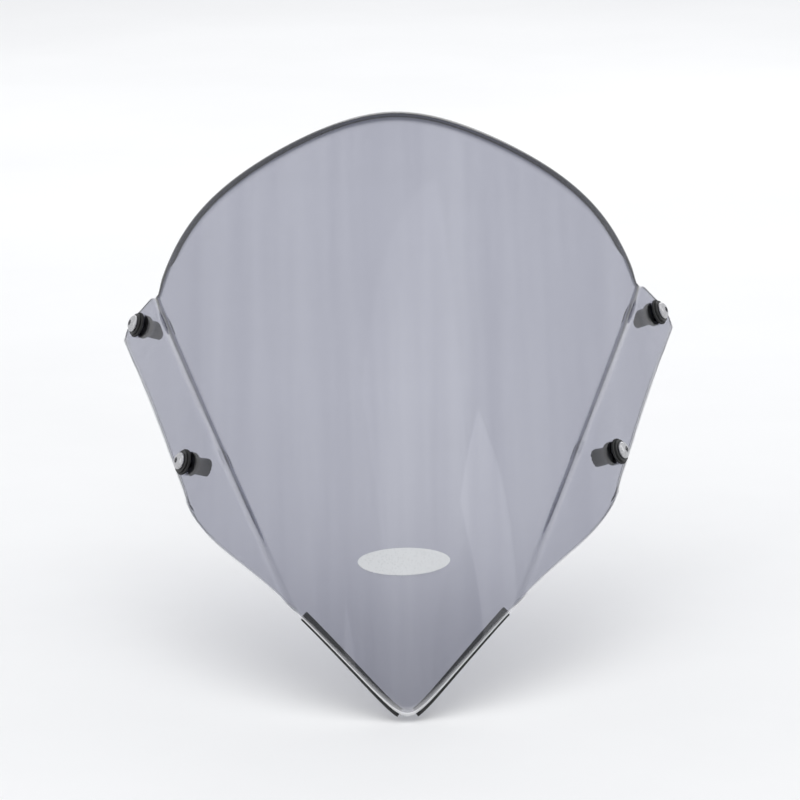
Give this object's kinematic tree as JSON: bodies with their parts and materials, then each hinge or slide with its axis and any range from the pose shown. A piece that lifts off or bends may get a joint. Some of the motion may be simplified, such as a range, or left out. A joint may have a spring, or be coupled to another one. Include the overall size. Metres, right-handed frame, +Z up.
{
  "type": "motorcycle windshield screen",
  "caption": "Smoke-tinted double-bubble windshield screen for a sports motorcycle, with a rolled upper lip, stepped side flanges and its screws and well nuts.",
  "frame": {"origin": "centre of the four-hole fixing pattern, on the screen's plane of symmetry", "axes": "+Z up and +Y to the rear in the attitude the screen has on the machine, so its front faces -Y; +X is the rider's left"},
  "size_m": [0.3106, 0.3177, 0.2689],
  "materials": {
    "smoked_acrylic": "polished, light smoke tint, see-through",
    "screw_steel": "bright stainless",
    "washer_nylon": "black nylon",
    "well_nut_rubber": "moulded black rubber",
    "insert_brass": "turned brass",
    "seal_rubber": "matt self-adhesive strip",
    "silver_ink": "silver-grey print"
  },
  "bodies": {
    "root": {"screen_panel": "smoked_acrylic", "upper_left_screw": "screw_steel", "upper_left_washer": "washer_nylon", "upper_left_well_nut_sleeve": "well_nut_rubber", "upper_left_well_nut_insert": "insert_brass", "upper_right_screw": "screw_steel", "upper_right_washer": "washer_nylon", "upper_right_well_nut_sleeve": "well_nut_rubber", "upper_right_well_nut_insert": "insert_brass", "lower_left_screw": "screw_steel", "lower_left_washer": "washer_nylon", "lower_left_well_nut_sleeve": "well_nut_rubber", "lower_left_well_nut_insert": "insert_brass", "lower_right_screw": "screw_steel", "lower_right_washer": "washer_nylon", "lower_right_well_nut_sleeve": "well_nut_rubber", "lower_right_well_nut_insert": "insert_brass", "left_edge_seal": "seal_rubber", "right_edge_seal": "seal_rubber", "printed_mark": "silver_ink"}
  },
  "joints": []
}
